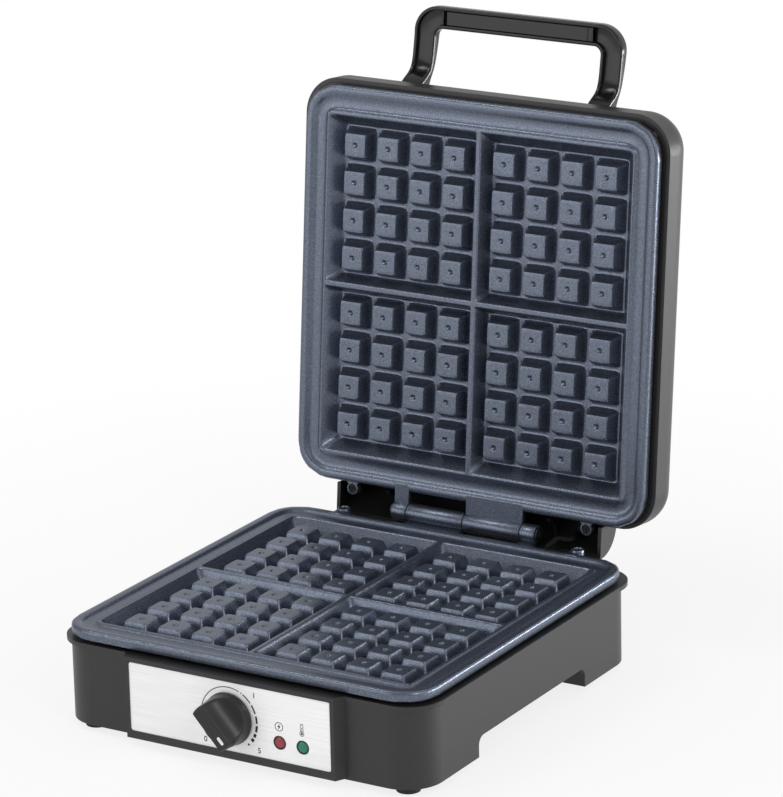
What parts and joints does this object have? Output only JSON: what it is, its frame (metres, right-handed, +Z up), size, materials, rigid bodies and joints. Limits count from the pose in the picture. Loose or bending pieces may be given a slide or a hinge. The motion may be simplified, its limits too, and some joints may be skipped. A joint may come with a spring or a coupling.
{
  "type": "waffle maker",
  "caption": "Hinged electric waffle maker with square gridded non-stick plates in a black casing, an arched lid handle, a brushed front panel, a dial and indicator lamps.",
  "frame": {"origin": "on the table, under the middle of the machine as it stands open", "axes": "+X to the machine's right seen from the front, +Y to the rear hinge, +Z up"},
  "size_m": [0.239, 0.3454, 0.3473],
  "materials": {
    "casing_plastic": "satin moulded black plastic",
    "handle_plastic": "glossy moulded black plastic",
    "knob_plastic": "satin moulded black plastic",
    "plate_coating": "die cast, dark non-stick coating",
    "panel_steel": "brushed along its length",
    "steel": "plain steel",
    "black_steel": "blackened steel screws",
    "heater_sheath": "oxidised tube",
    "shield_sheet": "plain sheet",
    "rubber_foot": "matt black rubber",
    "red_lens": "translucent red",
    "green_lens": "translucent green",
    "white_mark": "white fill",
    "insulator": "pale heat resistant moulding",
    "lead_sleeve": "dark heat resistant sleeve"
  },
  "bodies": {
    "base": {"base_casing": "casing_plastic", "bottom_cover": "casing_plastic", "bottom_cover_screws": "black_steel", "foot_front_left": "rubber_foot", "foot_front_right": "rubber_foot", "foot_rear_left": "rubber_foot", "foot_rear_right": "rubber_foot", "lower_plate": "plate_coating", "lower_plate_screws": "black_steel", "lower_heater": "heater_sheath", "lower_heater_clamps": "steel", "lower_heater_screws": "steel", "lower_heat_shield": "shield_sheet", "thermal_fuse": "insulator", "control_fascia": "casing_plastic", "fascia_plate": "panel_steel", "fascia_screws": "steel", "power_lamp_lens": "red_lens", "ready_lamp_lens": "green_lens", "lamp_holders": "insulator", "thermostat_bracket": "steel", "thermostat_body": "insulator", "thermostat_nut": "steel", "terminal_block": "insulator", "cord_gland": "casing_plastic", "hinge_pin": "black_steel", "hinge_pin_clips": "black_steel", "base_lead": "lead_sleeve"},
    "lid": {"lid_cover": "casing_plastic", "lid_frame": "casing_plastic", "lid_frame_screws": "steel", "upper_plate": "plate_coating", "upper_plate_screws": "black_steel", "upper_heater": "heater_sheath", "upper_heater_clamps": "steel", "upper_heater_screws": "steel", "upper_heat_shield": "shield_sheet", "handle_arch": "handle_plastic", "handle_insert": "handle_plastic", "handle_screws": "steel", "lid_lead": "lead_sleeve"},
    "knob": {"control_knob": "knob_plastic", "knob_pointer": "white_mark", "knob_clip": "steel", "thermostat_shaft": "steel"}
  },
  "joints": [
    {"name": "lid_hinge", "type": "hinge", "parent": "base", "child": "lid", "pos_m": [0, 0.0968, 0.0613], "axis": [1, 0, 0], "range_deg": [0, 95.7]},
    {"name": "knob_turn", "type": "hinge", "parent": "base", "child": "knob", "pos_m": [0, -0.1552, 0.0286], "axis": [0, 1, 0], "range_deg": [-270, 0]}
  ]
}
